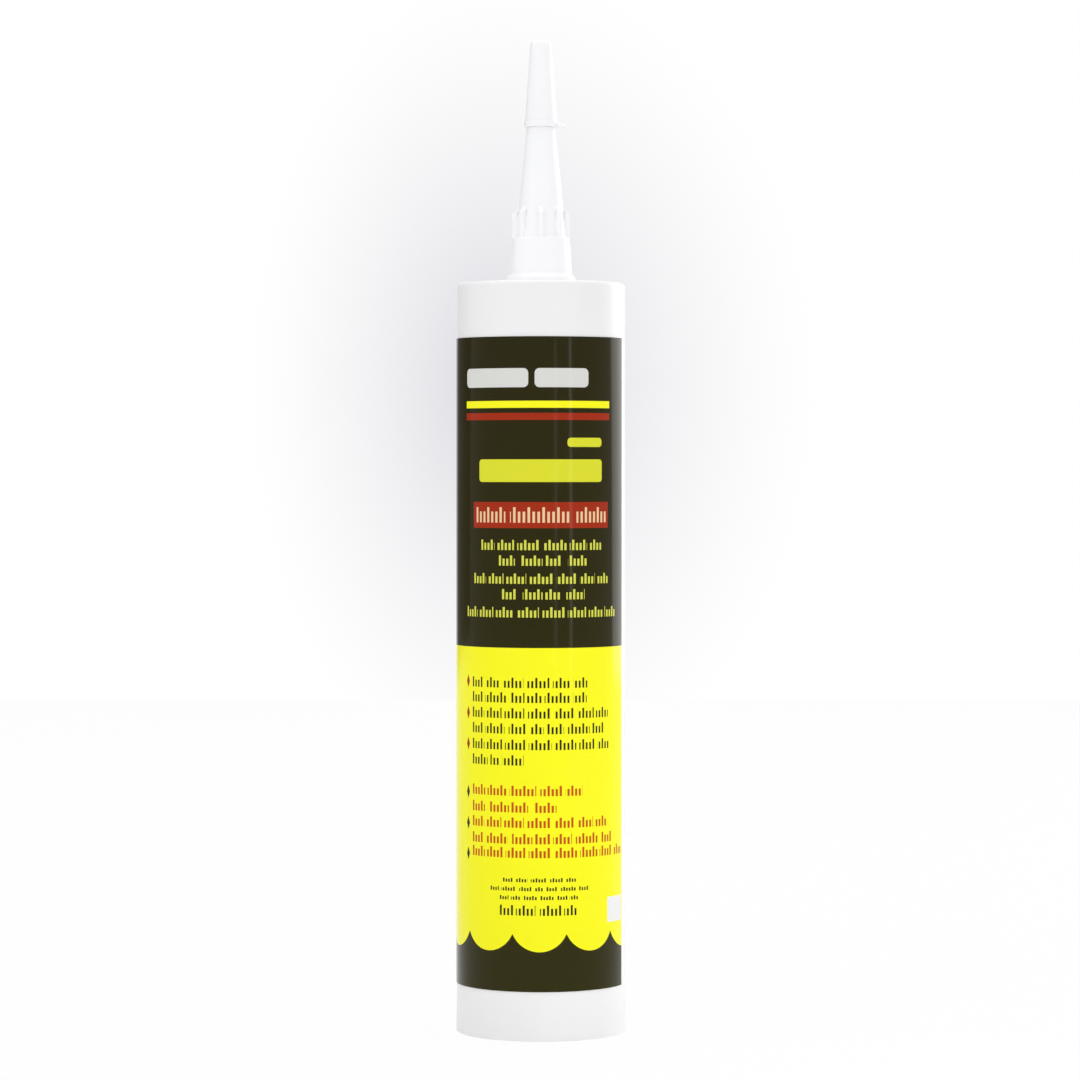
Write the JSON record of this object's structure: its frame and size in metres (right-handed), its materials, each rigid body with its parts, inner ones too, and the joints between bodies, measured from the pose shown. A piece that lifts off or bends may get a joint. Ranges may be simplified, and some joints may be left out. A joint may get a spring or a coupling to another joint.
{
  "type": "caulk tube",
  "caption": "Plastic sealant cartridge with a wrap label, a sliding piston, a screw-on tapered nozzle with grip ribs and a pull-off cap.",
  "frame": {"origin": "centre of the open rear rim, on the surface the cartridge stands on", "axes": "+Z along the barrel towards the nozzle; -Y is the front of the label; the cap's thumb tab points to +X"},
  "size_m": [0.0488, 0.0488, 0.2846],
  "materials": {
    "tube_plastic": "satin off-white polyethylene",
    "nozzle_plastic": "natural milky polyethylene",
    "piston_plastic": "waxy white polyethylene",
    "sealant_paste": "uncured white paste",
    "label_dark": "glossy printed film, dark olive",
    "label_yellow": "glossy printed film, yellow",
    "label_red": "glossy printed film, red"
  },
  "bodies": {
    "cartridge": {"cartridge_tube": "tube_plastic", "label": "label_dark", "label_yellow_field": "label_yellow", "label_yellow_stripe": "label_yellow", "label_red_stripe": "label_red", "label_red_bar": "label_red", "sealant": "sealant_paste"},
    "piston": {"piston": "piston_plastic"},
    "nozzle": {"nozzle": "nozzle_plastic"},
    "cap": {"nozzle_cap": "nozzle_plastic"}
  },
  "joints": [
    {"name": "piston_slide", "type": "slide", "parent": "cartridge", "child": "piston", "axis": [0, 0, 1], "range_m": [0, 0.182], "deforming": ["sealant"]},
    {"name": "nozzle_lift", "type": "slide", "parent": "cartridge", "child": "nozzle", "axis": [0, 0, 1], "range_m": [0, 0.03]},
    {"name": "cap_pull", "type": "slide", "parent": "nozzle", "child": "cap", "axis": [0, 0, 1], "range_m": [0, 0.03]}
  ]
}
